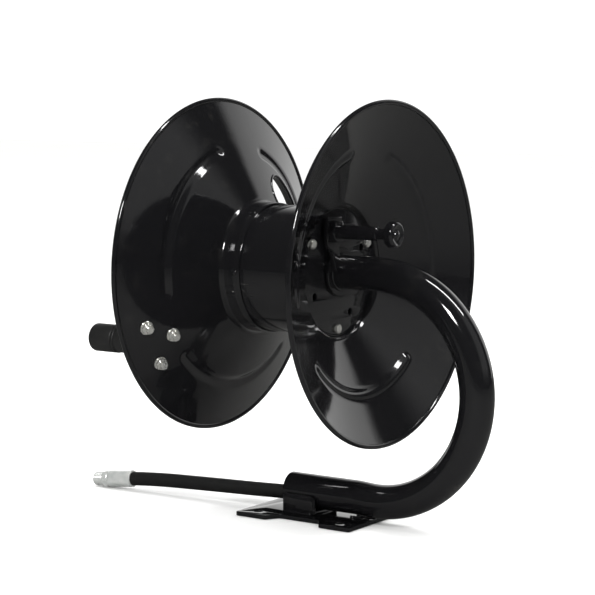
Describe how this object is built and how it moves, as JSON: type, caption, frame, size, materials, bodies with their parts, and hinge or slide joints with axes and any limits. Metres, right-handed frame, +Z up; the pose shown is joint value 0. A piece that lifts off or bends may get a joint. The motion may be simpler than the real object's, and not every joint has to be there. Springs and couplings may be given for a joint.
{
  "type": "pressure hose reel",
  "caption": "Hand-cranked hose reel: a drum between dished flanges turns on a hollow spindle held by one bent tube over a small bolt-down base plate.",
  "frame": {"origin": "middle of the base plate's underside, which is the middle of its four fixing holes", "axes": "+X along the spindle towards the arm's bend, -Y to the front, +Z up"},
  "size_m": [0.5661, 0.4, 0.492],
  "materials": {
    "black_gloss_steel": "gloss black powder coat",
    "zinc_plated_steel": "bright zinc plate",
    "bronze_bush": "machined bronze",
    "black_rubber": "matte black rubber",
    "black_grip_plastic": "matte black moulded plastic"
  },
  "bodies": {
    "stand": {"base_plate": "black_gloss_steel", "saddle_bracket": "black_gloss_steel", "weld_beads": "black_gloss_steel", "arm_tube": "black_gloss_steel", "arm_collar": "black_gloss_steel", "spindle_plug": "black_gloss_steel", "spindle": "zinc_plated_steel", "thrust_washer": "zinc_plated_steel", "spindle_clip": "zinc_plated_steel", "arm_hose": "black_rubber", "arm_hose_ferrule": "zinc_plated_steel", "arm_hose_nut": "zinc_plated_steel", "lead_hose": "black_rubber", "lead_ferrule": "zinc_plated_steel", "lead_nipple": "zinc_plated_steel", "lock_tab": "black_gloss_steel", "lock_barrel": "black_gloss_steel", "lock_nut": "black_gloss_steel", "lock_ring": "zinc_plated_steel", "lock_spring": "zinc_plated_steel"},
    "lock": {"lock_plunger": "black_gloss_steel", "lock_knob": "black_gloss_steel"},
    "reel": {"drum": "black_gloss_steel", "near_flange": "black_gloss_steel", "far_flange": "black_gloss_steel", "near_hub_plate": "black_gloss_steel", "far_hub_plate": "black_gloss_steel", "hub_bolts": "zinc_plated_steel", "hub_nuts": "zinc_plated_steel", "neck_rivets": "black_gloss_steel", "near_housing": "black_gloss_steel", "far_housing": "black_gloss_steel", "near_bush": "bronze_bush", "far_bush": "bronze_bush", "swivel_body": "zinc_plated_steel", "swivel_seals": "black_rubber", "swivel_screws": "zinc_plated_steel", "outlet_fitting": "zinc_plated_steel", "crank_plate": "black_gloss_steel", "crank_bolts": "zinc_plated_steel", "crank_washers": "zinc_plated_steel", "crank_nuts": "zinc_plated_steel", "handle_stud": "zinc_plated_steel"},
    "grip": {"handle_grip": "black_grip_plastic", "grip_cap": "black_grip_plastic"}
  },
  "joints": [
    {"name": "reel_spin", "type": "hinge", "parent": "stand", "child": "reel", "pos_m": [-0.025, 0, 0.292], "axis": [1, 0, 0], "continuous": true},
    {"name": "lock_slide", "type": "slide", "parent": "stand", "child": "lock", "axis": [1, 0, 0], "range_m": [-0.012, 0]},
    {"name": "grip_spin", "type": "hinge", "parent": "reel", "child": "grip", "pos_m": [-0.18, -0.13614, 0.21181], "axis": [1, 0, 0], "continuous": true}
  ]
}
